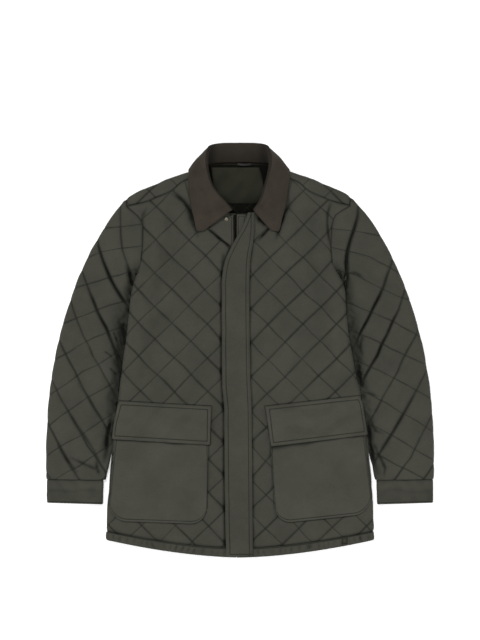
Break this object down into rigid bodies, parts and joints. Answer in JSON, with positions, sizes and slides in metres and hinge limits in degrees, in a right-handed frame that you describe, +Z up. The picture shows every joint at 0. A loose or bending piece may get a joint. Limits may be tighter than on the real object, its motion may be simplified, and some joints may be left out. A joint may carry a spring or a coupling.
{
  "type": "quilted field jacket, laid flat",
  "caption": "Diamond-quilted field jacket laid out flat on its back, with a corduroy collar, fly placket, flapped patch pockets, plain cuffs and a hem band.",
  "frame": {"origin": "middle of the jacket's box, on the surface that it lies on", "axes": "+X to the wearer's left, +Y from the hem to the collar, +Z up from the surface, out of the front"},
  "size_m": [0.814, 0.869, 0.0392],
  "materials": {
    "quilted_shell": "diamond-quilted dark olive polyester over wadding, satin",
    "smooth_shell": "the same dark olive polyester, unquilted, with topstitched edges",
    "corduroy": "fine dark brown corduroy",
    "lining": "plain dark olive taffeta lining",
    "zip_tape": "black woven zip tape with moulded teeth",
    "stud_metal": "dark antique snap stud"
  },
  "bodies": {
    "root": {"back": "quilted_shell", "front_left": "quilted_shell", "front_right": "quilted_shell", "sleeve_left": "quilted_shell", "sleeve_right": "quilted_shell", "cuff_left": "smooth_shell", "cuff_right": "smooth_shell", "hem_back": "smooth_shell", "hem_left": "smooth_shell", "hem_right": "smooth_shell", "pocket_left": "smooth_shell", "pocket_right": "smooth_shell", "flap_left": "smooth_shell", "flap_right": "smooth_shell", "placket": "smooth_shell", "fly_corner": "smooth_shell", "zip_guard": "smooth_shell", "hanger_loop": "lining", "collar": "corduroy", "neck_lining": "lining", "hem_tab": "lining", "zip": "zip_tape", "snap_stud": "stud_metal"}
  },
  "joints": []
}
